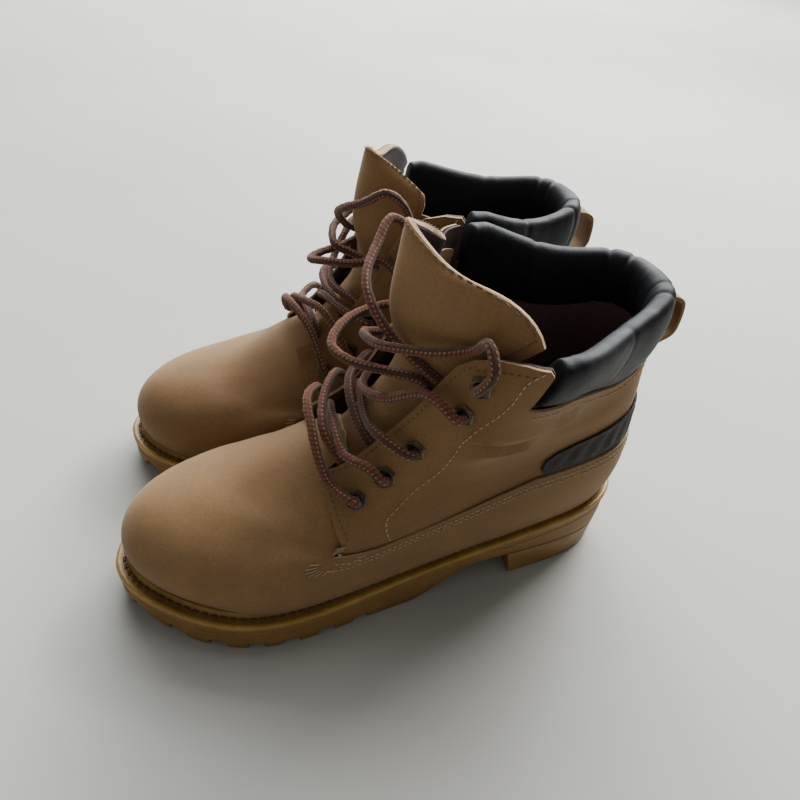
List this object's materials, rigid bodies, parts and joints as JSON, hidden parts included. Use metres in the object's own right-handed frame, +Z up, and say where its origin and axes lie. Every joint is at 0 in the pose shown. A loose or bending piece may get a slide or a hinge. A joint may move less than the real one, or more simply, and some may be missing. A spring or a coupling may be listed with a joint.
{
  "type": "hiking boots",
  "caption": "Pair of six-inch lace-up hiking boots in tan nubuck with padded black collars, loose round laces, a stitched ochre welt and lugged rubber soles",
  "frame": {"origin": "on the ground, under the middle of the pair's bounding box", "axes": "+Z up, toes towards -Y, +X to the wearer's left"},
  "size_m": [0.247, 0.3052, 0.2075],
  "materials": {
    "nubuck": "matt tan nubuck",
    "collar": "smooth black",
    "lining": "dark brown",
    "sole_rubber": "tan brown rubber",
    "heel_rubber": "amber rubber",
    "welt": "ochre",
    "label": "dark, ribbed",
    "eyelet": "antique, dark",
    "lace": "round braid, brown with rust and cream",
    "board": "fibre board",
    "steel": "plain",
    "foam": "foam",
    "cork": "cork"
  },
  "bodies": {
    "left_boot": {"left_outsole": "sole_rubber", "left_heel_block": "heel_rubber", "left_midsole": "sole_rubber", "left_welt": "welt", "left_cork_filler": "cork", "left_shank": "steel", "left_insole_board": "board", "left_footbed": "foam", "left_toe_puff": "board", "left_heel_counter": "board", "left_vamp": "nubuck", "left_quarter_lateral": "nubuck", "left_quarter_medial": "nubuck", "left_lining": "lining", "left_collar": "collar", "left_heel_label": "label", "left_pull_loop": "nubuck", "left_eyelet_lateral_1": "eyelet", "left_eyelet_lateral_2": "eyelet", "left_eyelet_lateral_3": "eyelet", "left_eyelet_lateral_4": "eyelet", "left_eyelet_lateral_5": "eyelet", "left_eyelet_medial_1": "eyelet", "left_eyelet_medial_2": "eyelet", "left_eyelet_medial_3": "eyelet", "left_eyelet_medial_4": "eyelet", "left_eyelet_medial_5": "eyelet", "left_lace": "lace"},
    "right_boot": {"right_outsole": "sole_rubber", "right_heel_block": "heel_rubber", "right_midsole": "sole_rubber", "right_welt": "welt", "right_cork_filler": "cork", "right_shank": "steel", "right_insole_board": "board", "right_footbed": "foam", "right_toe_puff": "board", "right_heel_counter": "board", "right_vamp": "nubuck", "right_quarter_lateral": "nubuck", "right_quarter_medial": "nubuck", "right_lining": "lining", "right_collar": "collar", "right_heel_label": "label", "right_pull_loop": "nubuck", "right_eyelet_lateral_1": "eyelet", "right_eyelet_lateral_2": "eyelet", "right_eyelet_lateral_3": "eyelet", "right_eyelet_lateral_4": "eyelet", "right_eyelet_lateral_5": "eyelet", "right_eyelet_medial_1": "eyelet", "right_eyelet_medial_2": "eyelet", "right_eyelet_medial_3": "eyelet", "right_eyelet_medial_4": "eyelet", "right_eyelet_medial_5": "eyelet", "right_lace": "lace"},
    "left_tongue": {"left_tongue": "nubuck"},
    "right_tongue": {"right_tongue": "nubuck"}
  },
  "joints": [
    {"name": "left_tongue_fold", "type": "hinge", "parent": "left_boot", "child": "left_tongue", "pos_m": [0.05355, -0.0511, 0.08], "axis": [1, 0, 0], "range_deg": [-4.5, 0], "deforming": ["left_lace"]},
    {"name": "right_tongue_fold", "type": "hinge", "parent": "right_boot", "child": "right_tongue", "pos_m": [-0.05355, -0.04525, 0.08], "axis": [1, 0, 0], "range_deg": [-4.5, 0], "deforming": ["right_lace"]},
    {"name": "right_boot_lift", "type": "slide", "parent": "left_boot", "child": "right_boot", "axis": [0, 0, 1], "range_m": [0, 0.25]}
  ]
}
